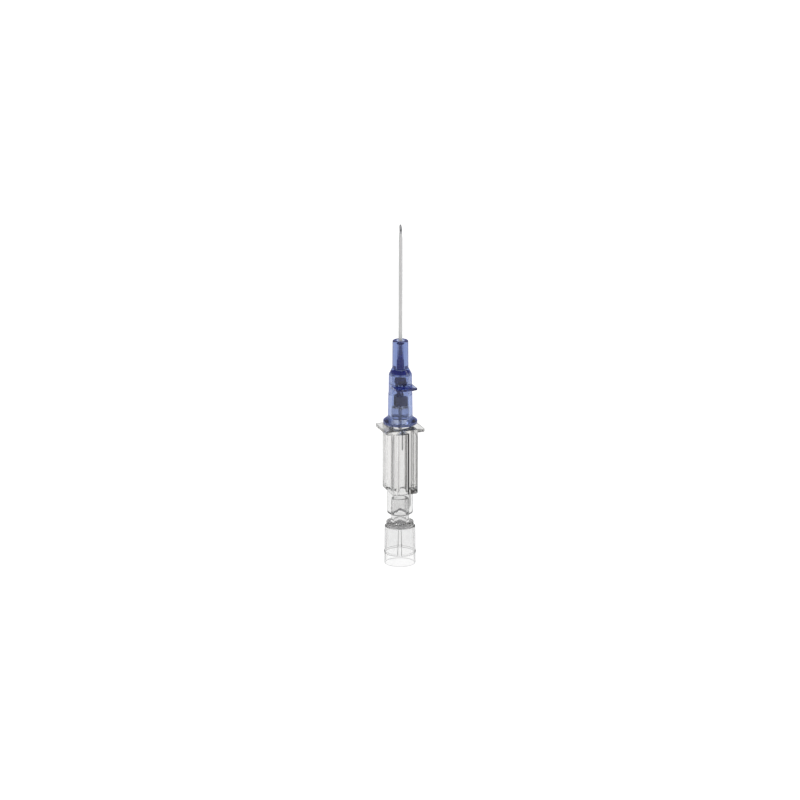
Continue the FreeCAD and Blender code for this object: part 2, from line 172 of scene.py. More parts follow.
def finished(name, mesh, sharp):
    """An object from a mesh, shaded smooth up to the sharp angle in degrees.

    Points that fall together are merged, and the large faces set the normals.
    """
    work = bmesh.new()
    work.from_mesh(mesh)
    bmesh.ops.remove_doubles(work, verts=work.verts, dist=2e-7)
    bmesh.ops.dissolve_degenerate(work, edges=work.edges, dist=1e-8)
    loose = [edge for edge in work.edges if not edge.link_faces]
    bmesh.ops.delete(work, geom=loose, context="EDGES")
    work.to_mesh(mesh)
    work.free()
    mesh.shade_smooth()
    mesh.set_sharp_from_angle(angle=math.radians(sharp))
    piece = bpy.data.objects.new(name, mesh)
    bpy.context.scene.collection.objects.link(piece)
    normals = piece.modifiers.new("flat faces stay flat", "WEIGHTED_NORMAL")
    normals.keep_sharp = True
    return piece


# %% Round the axis
def around_axis(radius, z, angles):
    """The grid of radii and heights at angles: x = r cos(angle), y = r sin(angle)."""
    return np.stack([radius * np.cos(angles), radius * np.sin(angles), z + 0 * angles], -1)


def turned(profile, angles):
    """The grid of a profile of radius and height, carried round the axis."""
    return around_axis(profile[:, :1], profile[:, 1:2], angles)


def even_angles(count):
    """Angles spread evenly round the axis."""
    return np.arange(count) * 2 * math.pi / count


print("turned in 64 steps, it is a grid of", turned(square, even_angles(64)).shape)

# %% [markdown]
# ## The flash plug
#
# The plug is an open skirt that narrows a little towards the front, an end wall with a pocket
# for the filter, and a conical nose that seals in the clear hub. Two vent grooves run along
# the skirt's bore. A boolean cut would leave long thin triangles that refraction shows, so the
# grid itself makes the grooves: the columns near each groove are drawn to its edges, which come
# closer together towards the filter, and between the edges the radius is that of the groove's
# floor.

# %% The plug's profile
SKIRT, SKIRT_FRONT, BEAD, COLLAR = 3.60, 3.55, 3.70, 3.17       # outer radii
FOOT_BORE, SKIRT_BORE, POCKET, NOSE_BORE = 3.40, 3.34, 2.90, 1.50
Z_FOOT_BORE, Z_FILTER, Z_SKIRT, Z_COLLAR, Z_PLUG_TIP = 2.70, 9.06, 9.10, 10.20, 16.10
Z_POCKET = Z_FILTER + 0.44
plug_profile = rounded_line([
    (FOOT_BORE, 0, 0.04),
    (SKIRT, 0, 0.08),
    (SKIRT, 0.14, 0),
    (SKIRT, 0.20, 0),
    (SKIRT, 2.55, 0.05),
    (BEAD, 2.65, 0.10),
    (BEAD, 3.00, 0.10),
    (SKIRT, 3.10, 0.05),
    (SKIRT_FRONT, Z_SKIRT, 0.15),
    (COLLAR, Z_SKIRT, 0.05),
    (COLLAR, Z_COLLAR, 0.15),
    (cone_radius(Z_SOCKET, Z_COLLAR), Z_COLLAR, 0.04),
    (cone_radius(Z_SOCKET, Z_PLUG_TIP), Z_PLUG_TIP, 0.15),
    (NOSE_BORE, Z_PLUG_TIP, 0.04),
    (NOSE_BORE, Z_POCKET, 0),
    (POCKET, Z_POCKET, 0),
    (POCKET, Z_FILTER, 0),
    (3.08, Z_FILTER, 0),
    (3.334, Z_FOOT_BORE + 0.15, 0),
    (SKIRT_BORE, Z_FOOT_BORE, 0),
    (FOOT_BORE, Z_FOOT_BORE, 0),
    (FOOT_BORE, Z_FOOT_BORE - 0.10, 0),
    (FOOT_BORE, 0.20, 0),
    (FOOT_BORE, 0.14, 0),
])
print("the plug's profile has", len(plug_profile), "points")

# %% Columns that know the vent grooves
GROOVE_TURN = math.radians(-111)
GROOVE_COLUMNS = 0.14   # half angle, in radians, of the columns that a groove takes


def off_groove(angles):
    """The signed angle to the middle of the nearer one of two opposite grooves."""
    return (angles - GROOVE_TURN + math.pi / 2) % math.pi - math.pi / 2


def groove_columns(count=144):
    """Even angles, where the columns of the two grooves take the place of those near them.

    On each side a groove has columns for its floor, the foot and the top of its wall, and the
    bore close to it.
    """
    side = GROOVE_COLUMNS + np.array([-0.030, -0.015, 0.015, 0.030])
    local = np.concatenate([-side, np.linspace(-0.08, 0.08, 5), side])
    grooves = [(GROOVE_TURN + turn + local) % (2 * math.pi) for turn in (0, math.pi)]
    plain = even_angles(count)
    plain = plain[np.abs(off_groove(plain)) > 1.3 * GROOVE_COLUMNS]
    return np.sort(np.concatenate([plain, *grooves]))


print("the plug has", len(groove_columns()), "columns")

# %% The vent grooves
Z_GROOVE = Z_FOOT_BORE, Z_FILTER        # heights of a groove's two ends
GROOVE_HALF_WIDTH = 0.43, 0.31          # half its width at each of them
GROOVE_FLOOR = 3.40, 3.28               # radius of its floor there
BORE_MIDDLE = 3.2                       # a radius between those of the bore's two ends
EVEN_AGAIN = 0.5                        # angle from a groove at which columns are even again
NEAR = 1e-6
Z_LAST_EDGE = 9.0                       # rounds in front of this show no dark edge
Z_FOOT_BAND, FOOT_SHADE = 0.15, 0.45    # the foot's edge: its height, and how dark it is


def with_grooves(profile, columns):
    """The turned plug with two opposite grooves in its bore, and the marks of its edges.

    Columns closer to a groove's middle than GROOVE_COLUMNS are drawn in or out until the last
    of them lies on the groove's edge, at half the width there. This happens over the bore
    alone, and fades out towards the even columns. Between the edges the radius is the floor's.
    """
    r, z, rounds = (profile[:, k:k + 1] for k in range(3))
    offset = off_groove(columns)
    drawn = (z > Z_FOOT_BORE - NEAR) & (z < Z_FILTER + NEAR)
    drawn &= (r > POCKET + 0.1) & (r < FOOT_BORE + 0.01)
    in_groove = drawn & (r < SKIRT_BORE + 0.005) & (np.abs(offset) < GROOVE_COLUMNS)
    edge = np.arcsin(np.interp(z, Z_GROOVE, GROOVE_HALF_WIDTH) / BORE_MIDDLE)
    pull = np.where(drawn, edge / GROOVE_COLUMNS, 1.0)
    fade = np.clip((EVEN_AGAIN - np.abs(offset)) / (EVEN_AGAIN - GROOVE_COLUMNS), 0, 1)
    angle = columns + offset * (pull - 1) * fade
    radius = np.where(in_groove, np.maximum(r, np.interp(z, Z_GROOVE, GROOVE_FLOOR)), r)

    on_wall = drawn & (np.abs(np.abs(offset) - GROOVE_COLUMNS) < 0.02)
    on_ledge = (np.abs(z - Z_FOOT_BORE) < NEAR) & ~in_groove
    edges = np.maximum(rounds * (z < Z_LAST_EDGE), on_wall | on_ledge)
    at_foot = z < Z_FOOT_BAND
    edges = edges * np.where(at_foot, FOOT_SHADE, 1) + FOOT_SHADE * at_foot
    return around_axis(radius, z, angle), edges


plug_grid, plug_edges = with_grooves(plug_profile, groove_columns())

# %% The plug
def dress(piece, body, node):
    """The piece moves with a body and stands for a node, which is hidden."""
    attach(piece, body)
    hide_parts(node)


on_nose = plug_grid[..., 2] > Z_COLLAR - 0.2
in_nose = np.hypot(plug_grid[..., 0], plug_grid[..., 1]) < NOSE_BORE + 0.1
flash_plug = closed_surface("plug_skirt", plug_grid, {
    "edge": np.where(on_nose, 0, plug_edges),
    "bore": on_nose & in_nose,
    "pressed": on_nose & ~in_nose,
})
dress(flash_plug, "plug", "flash_plug")

# %% [markdown]
# ## Outlines that aren't round
#
# The grip is a block, the flange a wider block and the tab a tongue. They could be boxes that a
# boolean joins to the turned body, but each is still seen whole from the axis. So a ring of the
# surface only needs a radius for every angle. The outline is drawn as a line with rounded
# corners, and the radius at an angle is read off it. Where two shapes are moulded as one, the
# ring takes the larger radius.

# %% Radius of an outline at an angle
def reach_of(outline, angles, parts=40):
    """Radius of a closed outline at each angle, read off it after each run is divided."""
    t = np.linspace(0, 1, parts, endpoint=False)[None, :, None]
    outline = outline[:, :2]
    dense = (outline[:, None] * (1 - t) + np.roll(outline, -1, 0)[:, None] * t).reshape(-1, 2)
    at = np.arctan2(dense[:, 1], dense[:, 0])
    order = np.argsort(at)
    reach = np.hypot(dense[:, 0], dense[:, 1])
    return np.interp(angles, at[order], reach[order], period=2 * math.pi)


def angles_of(outline):
    """The angles at which an outline's own points lie, so that its arcs are followed exactly."""
    return np.arctan2(outline[:, 1], outline[:, 0]) % (2 * math.pi)


def block_outline(half_x, half_y, corner, inset=0.0):
    """A rectangle about the axis with rounded corners, drawn in by inset all round."""
    x, y, r = half_x - inset, half_y - inset, max(corner - inset, 0.01)
    return rounded_line([(-x, -y, r), (x, -y, r), (x, y, r), (-x, y, r)], 8)


print("a block of 2 by 2 reaches", reach_of(block_outline(1, 1, 0), math.pi / 4).round(3))

# %% A stack of rings
QUARTER = np.linspace(0, math.pi / 2, 7)


def circles(line, angles):
    """The rows of a profile as rings: each the radius at every angle, and the height."""
    return [(r + 0 * angles, z) for r, z, mark in line]


def rounded_edge(outline, size, middle, start, angles):
    """Rings over a quarter of a round edge.

    At each angle a, from start downwards, the outline is drawn in by size * (1 - sin(a)) and
    lies size * cos(a) above the middle of the round.
    """
    return [(reach_of(outline(size * (1 - math.sin(a))), angles), middle + size * math.cos(a))
            for a in start - QUARTER]


def plate(outline, rear, front, size, angles):
    """Rings of a plate whose two edges have rounds of a size, from its rear to its front."""
    return (rounded_edge(outline, size, rear + size, math.pi, angles)
            + rounded_edge(outline, size, front - size, math.pi / 2, angles))


def stacked(rings):
    """The radii of a stack of rings, row by row, and a column of their heights."""
    radii, heights = zip(*rings)
    return np.array(radii), np.array(heights)[:, None]


print("a round edge takes", len(QUARTER), "rings")

# %% [markdown]
# ## The clear hub
#
# One moulding holds everything: the socket behind, the flash chamber in the grip, the flange in
# front of the fingers and the nose on which the blue hub sits. Its outside is a stack of rings,
# circle, block, flange and cone, and its inside is turned. The sunken panel in each side of the
# grip could be cut out, but it is cleaner as a step of the block's own rows and columns, which
# lie close together where the panel's wall is.

# %% Rows and columns of the grip
GRIP_X, GRIP_Y, GRIP_ROUND = 3.00, 3.95, 0.30
FLANGE_X, FLANGE_Y, FLANGE_CORNER, FLANGE_ROUND = 4.70, 4.10, 0.60, 0.10
PANEL_MARGIN, PANEL_DEPTH, PANEL_ROUND, PANEL_WALL = 0.80, 0.20, 1.00, 0.07
panel_y = GRIP_Y - PANEL_MARGIN
panel_low, panel_high = Z_GRIP + PANEL_MARGIN, Z_FLANGE - PANEL_MARGIN
close_rows = [-0.05, 0, 0.02, 0.05, PANEL_WALL, 0.12]       # from the panel's outline inwards
near_edge = np.concatenate([close_rows, np.linspace(0.18, 1.10, 15)])
panel_rows = np.concatenate([panel_low + near_edge,
                             np.linspace(panel_low + 1.6, panel_high - 1.6, 8),
                             panel_high - near_edge[::-1]])
side_columns = np.concatenate([panel_y - near_edge, np.linspace(-1.8, 1.8, 13),
                               near_edge - panel_y])
face_columns = np.linspace(-2.6, 2.6, 15)


def grip_outline(inset=0.0):
    """The grip seen from the axis, drawn in by inset."""
    return block_outline(GRIP_X, GRIP_Y, GRIP_ROUND, inset)


def flange_outline(inset=0.0):
    """The flange seen from the axis, drawn in by inset."""
    return block_outline(FLANGE_X, FLANGE_Y, FLANGE_CORNER, inset)


grip_angles = np.concatenate([
    np.arctan2(side_columns, GRIP_X), np.arctan2(side_columns, -GRIP_X),
    np.arctan2(GRIP_Y, face_columns), np.arctan2(-GRIP_Y, face_columns),
    angles_of(grip_outline()), angles_of(flange_outline()),
])
grip_angles = np.unique(np.round(grip_angles % (2 * math.pi), 5))
print("the clear hub has", len(grip_angles), "columns")

# %% Outside of the clear hub
BARREL, SOCKET_FACE = 2.97, 2.30        # outer radii of the barrel behind the grip
# the last corner only gives the line an inside, and is dropped
barrel_line = rounded_line([
    (LUER_MOUTH, Z_SOCKET, 0.03), (SOCKET_FACE, Z_SOCKET, 0.05), (BARREL, Z_SOCKET + 0.42, 0.2),
    (BARREL, Z_GRIP, 0), (1, 15, 0)])[:-1]
grip_rear = rounded_edge(grip_outline, GRIP_ROUND, Z_GRIP + GRIP_ROUND, math.pi, grip_angles)
block = reach_of(grip_outline(), grip_angles)
outside = [
    *circles(barrel_line, grip_angles),
    *((np.maximum(reach, BARREL), z) for reach, z in grip_rear),
    *((block, z) for z in panel_rows),
    (block, Z_FLANGE),
    *plate(flange_outline, Z_FLANGE, Z_FLANGE_FRONT, FLANGE_ROUND, grip_angles),
]
print("the clear hub's outside has", len(outside), "rings")

# %% Nose and inside of the clear hub
NEEDLE = 0.29                           # radius of the needle, and of its seat in the nose
BOND_WELL, BOND_DEPTH = 0.75, 0.70      # the cone at the tip that takes the glue
CHAMBER_REAR, CHAMBER_FRONT = (1.70, 17.60), (1.64, 31.80)      # radius and height
Z_SOCKET_FLOOR = 17.00
# the last two corners only close the line round the outside, and are dropped
inside = circles(rounded_line([
    (cone_radius(Z_RIM, Z_FLANGE_FRONT), Z_FLANGE_FRONT, 0),
    (cone_radius(Z_RIM, Z_NOSE_TIP), Z_NOSE_TIP, 0.15),
    (BOND_WELL, Z_NOSE_TIP, 0.05),
    (NEEDLE, Z_NOSE_TIP - BOND_DEPTH, 0),
    (NEEDLE, CHAMBER_FRONT[1] + 0.50, 0),
    (*CHAMBER_FRONT, 0.30),
    (*CHAMBER_REAR, 0),
    (socket_radius(Z_SOCKET, Z_SOCKET_FLOOR), Z_SOCKET_FLOOR, 0),
    (LUER_MOUTH, Z_SOCKET, 0.03),
    (4.0, Z_SOCKET - 1, 0),
    (4.0, 33, 0)])[:-2], grip_angles)
hub_radius, hub_z = stacked(outside + inside)
hub_grid = around_axis(hub_radius, hub_z, grip_angles)
print("the nose and the inside have", len(inside), "rings")

# %% The sunken panels
def panel_step(y, z):
    """Depth of the sunken side panel at a place on the grip's side.

    The distance to the panel's outline, a rectangle with rounded corners, is that of the point
    from the inner rectangle of the corners' centres, less the round. The depth rises over the
    width of the panel's wall.
    """
    middle, half = (panel_low + panel_high) / 2, (panel_high - panel_low) / 2
    out_y = np.abs(y) - (panel_y - PANEL_ROUND)
    out_z = np.abs(z - middle) - (half - PANEL_ROUND)
    beyond = np.hypot(np.maximum(out_y, 0), np.maximum(out_z, 0))
    outside = beyond + np.minimum(np.maximum(out_y, out_z), 0)
    return PANEL_DEPTH * np.clip((PANEL_ROUND - outside) / PANEL_WALL, 0, 1)


in_grip = (hub_z > Z_GRIP) & (hub_z < Z_FLANGE)
on_side = in_grip & (np.abs(np.abs(hub_grid[..., 0]) - GRIP_X) < 1e-3)
step = np.where(on_side, panel_step(hub_grid[..., 1], hub_grid[..., 2]), 0)
hub_grid[..., 0] -= np.sign(hub_grid[..., 0]) * step
print("the panels take", int((step > 0).sum()), "points")

# %% The clear hub
IN_CONES = 1.9      # the pressed cones are wider than this radius, and the chamber is narrower
CORNER_REACH = 4.0  # radius from which a point off the flat faces lies by a corner
FLANGE_SHARE = 0.4  # the flange's thin plate shows a weaker outline, by this share
on_wall = on_side & (step > 0) & (step < PANEL_DEPTH)
# the corners' rounds, and the strips of the panels next to them
off_faces = ((np.abs(hub_grid[..., 0]) < GRIP_X - 0.01)
             & (np.abs(hub_grid[..., 1]) < GRIP_Y - 0.01))
by_corner = in_grip & off_faces & (hub_radius > CORNER_REACH)
nose_or_inside = np.arange(len(hub_z))[:, None] >= len(outside)
in_chamber = (hub_z > CHAMBER_REAR[1] - 0.1) & (hub_z < CHAMBER_FRONT[1] + 0.2)
clear_hub = closed_surface("clear_hub", hub_grid, {
    "edge": on_wall | by_corner,
    "bore": nose_or_inside & in_chamber & (hub_radius < IN_CONES),
    "pressed": np.where(nose_or_inside, hub_radius > IN_CONES,
                        FLANGE_SHARE * (hub_z > Z_FLANGE - 0.01)),
})
dress(clear_hub, "needle_unit", "needle_hub")

# %% [markdown]
# ## The blue hub
#
# The blue hub holds the catheter in its neck and the spring clip in a wider room behind it, and
# ends in the rim that a syringe or a line is screwed to. It is turned inside and out, apart
# from the tab that the index finger pushes. The tab could be a piece of its own, but it is part
# of the same moulding, and a wall between two clear pieces would show. So the rings there are
# the larger of the body's circle and the tab's own outline.

# %% The tab's outline
TAB_HALF, TAB_CORNER, TAB_REACH = 2.58, 4.55, 4.95      # half width, and reach from the axis
TAB_THICKNESS, TAB_ROUND = 0.52, 0.12


def tab_outline(inset=0.0):
    """The tab: straight sides, rounded corners and a crowned front edge, drawn in by inset."""
    half, corner, reach = TAB_HALF - inset, TAB_CORNER - inset, TAB_REACH - inset
    return rounded_line([
        (-half, 0.4, 0), (-half, -corner, 0.35), (-half / 2, -reach, 2.0),
        (half / 2, -reach, 2.0), (half, -corner, 0.35), (half, 0.4, 0)], 8)


blue_angles = np.concatenate([even_angles(144), angles_of(tab_outline())[1:-1]])
blue_angles = np.unique(np.round(blue_angles, 4))
print("the blue hub has", len(blue_angles), "columns")

# %% The blue hub's profile
RIM, NECK_MOUTH = 3.95, 1.05
BODY_REAR, BODY_FRONT = (2.70, 41.27), (2.67, 45.84)    # radius and height of the plain body
TUBE, BELL = 0.45, 0.55                                 # radii of the catheter and of its bell
CLIP_ROOM, Z_CLIP_ROOM, Z_CONE = 1.90, 41.59, 45.54     # the clip's room, as far as the cone
Z_CLIP_GROOVE, CLIP_GROOVE_LENGTH, CLIP_GROOVE_DEPTH = 42.54, 1.10, 0.10
groove_end = Z_CLIP_GROOVE + CLIP_GROOVE_LENGTH


def on_cone(radius):
    """The place at a radius on the straight cone from the clip's room to the sleeve's seat."""
    return radius, np.interp(radius, (BELL, CLIP_ROOM), (Z_SEAT, Z_CONE)), 0


blue_line = rounded_line([
    (LUER_MOUTH, Z_RIM, 0.05),
    (RIM, Z_RIM, 0.20),
    (RIM, 34.76, 0.20),
    (2.86, 35.61, 0.50),
    (2.78, 41.19, 0.04),
    (*BODY_REAR, 0.04),
    (*BODY_FRONT, 0.80),
    (1.87, 47.44, 0.50),
    (1.82, Z_NECK_FRONT, 0.25),
    (NECK_MOUTH, Z_NECK_FRONT, 0.05),
    (TUBE, Z_NECK_FRONT - 0.90, 0),
    (TUBE, Z_BELL_END, 0),
    (BELL, Z_SLEEVE_END, 0),
    (BELL, Z_SEAT, 0),
    on_cone(1.25),
    on_cone(1.40),
    (CLIP_ROOM, Z_CONE, 0.30),
    (CLIP_ROOM, groove_end, 0),
    (CLIP_ROOM + CLIP_GROOVE_DEPTH, groove_end - CLIP_GROOVE_DEPTH, 0),
    (CLIP_ROOM + CLIP_GROOVE_DEPTH, Z_CLIP_GROOVE + CLIP_GROOVE_DEPTH, 0),
    (CLIP_ROOM, Z_CLIP_GROOVE, 0),
    (CLIP_ROOM, Z_CLIP_ROOM, 0),
    (socket_radius(Z_RIM, Z_CLIP_ROOM), Z_CLIP_ROOM, 0),
])
print("the blue hub's profile has", len(blue_line), "points")

# %% The blue hub
body_at_tab = np.interp(Z_TAB, (BODY_REAR[1], BODY_FRONT[1]), (BODY_REAR[0], BODY_FRONT[0]))
on_tab_side = np.sin(blue_angles) < -0.02
z_tab_front = Z_TAB + TAB_THICKNESS
body = body_at_tab + 0 * blue_angles
tab = [(np.maximum(np.where(on_tab_side, reach, 0), body_at_tab), z)
       for reach, z in plate(tab_outline, Z_TAB, z_tab_front, TAB_ROUND, blue_angles)]
rings = circles(blue_line, blue_angles)
below_tab = int(np.argmax(blue_line[:, 1] > Z_TAB))
rings[below_tab:below_tab] = [(body, Z_TAB), *tab, (body, z_tab_front)]
radius, z = stacked(rings)
in_bore = np.arange(len(z))[:, None] > np.argmax(z)
# painted shade: the narrow half of the cone and the seat of the sleeve are drawn as a dark cone,
# paler in front of Z_PALER
NARROW_CONE, Z_PALER = 1.45, 48.0
painted_dark_cone = in_bore & (z > Z_CONE) & (z < Z_SLEEVE_END + 0.2) & (radius < NARROW_CONE)
# the tab takes the pressed mark too, so it shows no painted outline
on_tab = (z > Z_TAB - 0.01) & (z < z_tab_front + 0.08) & (radius > body_at_tab + 0.1)
blue_hub = closed_surface("blue_hub", around_axis(radius, z, blue_angles), {
    "edge": painted_dark_cone * np.where(z > Z_PALER, 0.8, 1),
    "pressed": (in_bore & (z < Z_CLIP_ROOM + 0.01)) | on_tab,
})
dress(blue_hub, "catheter", "catheter_hub")

# %% [markdown]
# ## Catheter, eyelet and filter
#
# The catheter is a soft tube, belled over the metal eyelet that clamps it in the hub, and it
# tapers at its tip until it hugs the needle. The filter is a pressed disc. Cylinders would do
# for the parts that stand free, but the bell and the eyelet show through the blue plastic, so
# each piece is turned from its own profile.

# %% The catheter tube, the eyelet and the filter
SLEEVE, TUBE_BORE, TIP_TAPER = 0.43, 0.335, 1.40
Z_BELL, Z_EYELET = 46.659, 46.459       # rear ends of the bell and of the eyelet
tube_line = rounded_line([
    (0.74, Z_BELL, 0), (0.86, Z_BELL, 0), (BELL, Z_SEAT, 0), (BELL, Z_SLEEVE_END, 0),
    (TUBE, Z_BELL_END, 0), (TUBE, Z_TUBE_TIP - TIP_TAPER, 1.5), (0.345, Z_TUBE_TIP, 0.02),
    (0.31, Z_TUBE_TIP, 0), (TUBE_BORE, Z_TUBE_TIP - TIP_TAPER, 0), (TUBE_BORE, Z_BELL_END, 0),
    (SLEEVE, Z_SLEEVE_END, 0), (SLEEVE, Z_SEAT, 0)])
eyelet_line = rounded_line([
    (0.836, Z_EYELET, 0.03), (0.926, Z_EYELET, 0.04), (SLEEVE, Z_SEAT, 0.1),
    (SLEEVE, Z_SLEEVE_END, 0.03), (0.34, Z_SLEEVE_END, 0.03), (0.34, Z_SEAT, 0.1)])
filter_edge, filter_face = POCKET - 0.02, Z_POCKET - 0.015
filter_line = rounded_line([
    (0, Z_FILTER, 0), (filter_edge, Z_FILTER, 0.05), (filter_edge, filter_face, 0.05),
    (0, filter_face, 0)])
catheter = closed_surface("catheter", turned(tube_line, even_angles(64)))
eyelet = closed_surface("eyelet_sleeve", turned(eyelet_line, even_angles(64)))
vent_filter = closed_surface("filter_disc", turned(filter_line, even_angles(96)))
dress(catheter, "catheter", "catheter_tube")
dress(eyelet, "catheter", "eyelet")
dress(vent_filter, "plug", "vent_filter")

# %% [markdown]
# ## The needle
#
# The needle is a drawn tube with a crimp that stops the clip. Its point is ground: a long bevel
# on the side of the tab, and two short facets behind it that make the point sharp. Three
# boolean cuts would make it too. Each facet is a plane, though, so the height of the tube's end
# is simply the lowest of three planes at every place, and the rows across its wall are put at
# that height.

# %% The needle's ground point
NEEDLE_BORE = 0.19
BEVEL_LENGTH, BACK_CUT_LENGTH, BACK_CUT_TURN = 1.90, 0.85, math.radians(40)


def ground_height(x, y):
    """Height of the ground point over x and y.

    The bevel falls by its length from the back of the tube to the front. Each back facet
    passes through the tip, leans back by the angle whose tangent is radius / length, and is
    turned about the needle to one side.
    """
    bevel = Z_NEEDLE_TIP - BEVEL_LENGTH * (NEEDLE - y) / (2 * NEEDLE)
    lean = math.atan2(NEEDLE, BACK_CUT_LENGTH)
    sideways = np.abs(x) * math.sin(BACK_CUT_TURN)
    backwards = (y - NEEDLE) * math.cos(BACK_CUT_TURN)
    return np.minimum(bevel, Z_NEEDLE_TIP - (sideways + backwards) / math.tan(lean))


needle_angles = even_angles(96)
wall = NEEDLE + (NEEDLE_BORE - NEEDLE) * np.linspace(0, 1, 4)[:, None]
end_x, end_y = wall * np.cos(needle_angles), wall * np.sin(needle_angles)
ground = np.stack([end_x, end_y, ground_height(end_x, end_y)], -1)
print("the ground point is", round(float(np.ptp(ground[..., 2])), 2), "mm long")

# %% The needle
Z_NEEDLE_REAR, Z_NEEDLE_PLAIN = 27.70, 79.0     # ends of the part that is turned
CRIMP, CRIMP_HALF, CRIMP_CREST = 0.03, 0.4, 0.1     # its swelling, and its halves along z
crimp = Z_NEEDLE_TIP - 6.0
needle_line = rounded_line([
    (NEEDLE_BORE, Z_NEEDLE_REAR, 0),
    (NEEDLE, Z_NEEDLE_REAR, 0.03),
    (NEEDLE, crimp - CRIMP_HALF, 0.3),
    (NEEDLE + CRIMP, crimp - CRIMP_CREST, 0.1),
    (NEEDLE + CRIMP, crimp + CRIMP_CREST, 0.1),
    (NEEDLE, crimp + CRIMP_HALF, 0.3),
    (NEEDLE, Z_NEEDLE_PLAIN, 0),
    (NEEDLE_BORE, Z_NEEDLE_PLAIN, 0),
])
shaft = turned(needle_line, needle_angles)
needle_grid = np.concatenate([shaft[:-1], ground, shaft[-1:]])
needle = closed_surface("needle_tube", needle_grid, sharp=20)
dress(needle, "needle_unit", "needle")

# %% [markdown]
# ## Finishes
#
# A finish is a graph of shader nodes. It could be drawn by hand in the editor, but shader maths
# reads best as ordinary sums. A small class wraps an output of a node, and adding, subtracting
# or multiplying it makes the Math node. All other nodes come from one method. Numbers that are
# the same all over a surface stand on the shader's own sockets.

# %% Signals
class Signal:
    """An output of a node. Sums with numbers or other signals add Math nodes."""

    def __init__(self, finish, socket):
        self.finish, self.socket = finish, socket

    def math(self, operation, *operands):
        """A Math node on the operands."""
        return self.finish.node("ShaderNodeMath", {"operation": operation},
                                dict(enumerate(operands)))

    def __add__(self, other):
        return self.math("ADD", self, other)

    def __mul__(self, other):
        return self.math("MULTIPLY", self, other)

    def __sub__(self, other):
        return self.math("SUBTRACT", self, other)

    def __rsub__(self, other):
        return self.math("SUBTRACT", other, self)

    def __abs__(self):
        return self.math("ABSOLUTE", self)

    __radd__, __rmul__ = __add__, __mul__


# %% A finish and its nodes
class Finish:
    """A material: a Principled shader, and the nodes that feed what varies over the surface."""

    def __init__(self, name, values):
        self.material = bpy.data.materials.new(name)
        self.material.use_nodes = True
        self.tree = self.material.node_tree
        self.shader = self.tree.nodes["Principled BSDF"]
        self.output = self.tree.nodes["Material Output"]
        self.feed(self.shader, values)
        self.place = self.node("ShaderNodeTexCoord", output="Object")

    def node(self, kind, settings=None, inputs=None, output=0):
        """Adds a node, sets its settings or a ramp's stops, then feeds its sockets."""
        node = self.tree.nodes.new(kind)
        for key, value in (settings or {}).items():
            if key == "stops":
                ramp = node.color_ramp
                while len(ramp.elements) < len(value):
                    ramp.elements.new(0.5)
                for element, (place, colour) in zip(ramp.elements, value):
                    element.position, element.color = place, (*colour, 1)
            else:
                setattr(node, key, value)
        self.feed(node, inputs or {})
        return Signal(self, node.outputs[output])

    def feed(self, node, inputs):
        """Puts a value on each named socket, or links a signal to it."""
        for key, value in inputs.items():
            if isinstance(value, Signal):
                self.tree.links.new(value.socket, node.inputs[key])
            else:
                node.inputs[key].default_value = value

    def noise(self, grains, stretch=(1, 1, 1), detail=2.0):
        """Noise with a number of grains to the metre, drawn out along the axes by stretch."""
        place = self.node("ShaderNodeMapping", inputs={
            "Vector": self.place, "Scale": [grains * s for s in stretch]})
        return self.node("ShaderNodeTexNoise", inputs={
            "Vector": place, "Scale": 1.0, "Detail": detail})

    def bump(self, height, distance):
        """Feeds the shader's normal from a height of 0 to 1 that stands for metres."""
        normal = self.node("ShaderNodeBump", inputs={
            "Height": height, "Distance": distance, "Strength": 1.0})
        self.feed(self.shader, {"Normal": normal})

    def ramp(self, value, low, high, to_low=0.0, to_high=1.0):
        """Goes from to_low to to_high while the value goes from low to high, and stays there."""
        return self.node("ShaderNodeMapRange", inputs={
            "Value": value, "From Min": low, "From Max": high,
            "To Min": to_low, "To Max": to_high})

    def colours(self, value, *stops):
        """The colour at a value, between stops that each have a value and a colour."""
        return self.node("ShaderNodeValToRGB", {"stops": stops}, {"Fac": value})

    def along(self, direction):
        """How far a point lies in a direction, in metres."""
        return self.node("ShaderNodeVectorMath", {"operation": "DOT_PRODUCT"},
                         {0: self.place, 1: direction}, "Value")

    def by_height(self, low, high, below, above):
        """A number that changes from below to above between two heights in mm."""
        return self.ramp(self.along((0, 0, 1)), low * MILLIMETRE, high * MILLIMETRE,
                         below, above)

    def mark(self, name):
        """A number that the mesh carries for each point."""
        return self.node("ShaderNodeAttribute", {"attribute_name": name}, output="Fac")


# %% [markdown]
# ### Clear plastic
#
# In a white studio a clear moulding shows as pale grey with thin dark lines, where its surface
# turns away and mirrors or bends light from dark places far off the line of sight. Such places
# could be built into the room, but then each bend of the light would have to be found by trial.
# Here the finish draws the lines itself: it mixes in a matt dark surface where the plastic
# turns away, along the marked edges, and in a band of the bore's wall. A veil, the same share
# all over, stands for plastic that isn't quite clear: the socket more than the grip, and the
# plug's skirt more than its foot and its nose. The plastic itself is faintly grey, so long ways
# through it are darker. Its surface is polished, with a slow wave left by the flow in the mould.

# %% What the moulded plastics share
# the painted shade in the bores grows towards this side, the studio's right
STUDIO_RIGHT = (0.940, -0.342, 0)   # level, and 20 degrees from +X
SIDEWAYS = 1.2 * MILLIMETRE         # a change from left to right goes so far on both sides
BORE_TURNS_DARK = 0.27, 0.38        # how far the wall of a bore has turned away by then


def moulded(name, tint, bending, grains, spread, least, wave, specular=0.5):
    """A plastic that light passes through.

    Its roughness is least plus spread times a noise of so many grains to the metre, and its
    surface has a wave of 0.01 mm.
    """
    finish = Finish(name, {"Base Color": (*tint, 1), "Transmission Weight": 1.0,
                           "IOR": bending, "Specular IOR Level": specular})
    finish.feed(finish.shader, {"Roughness": finish.noise(grains) * spread + least})
    finish.bump(finish.noise(wave), 0.01 * MILLIMETRE)
    return finish


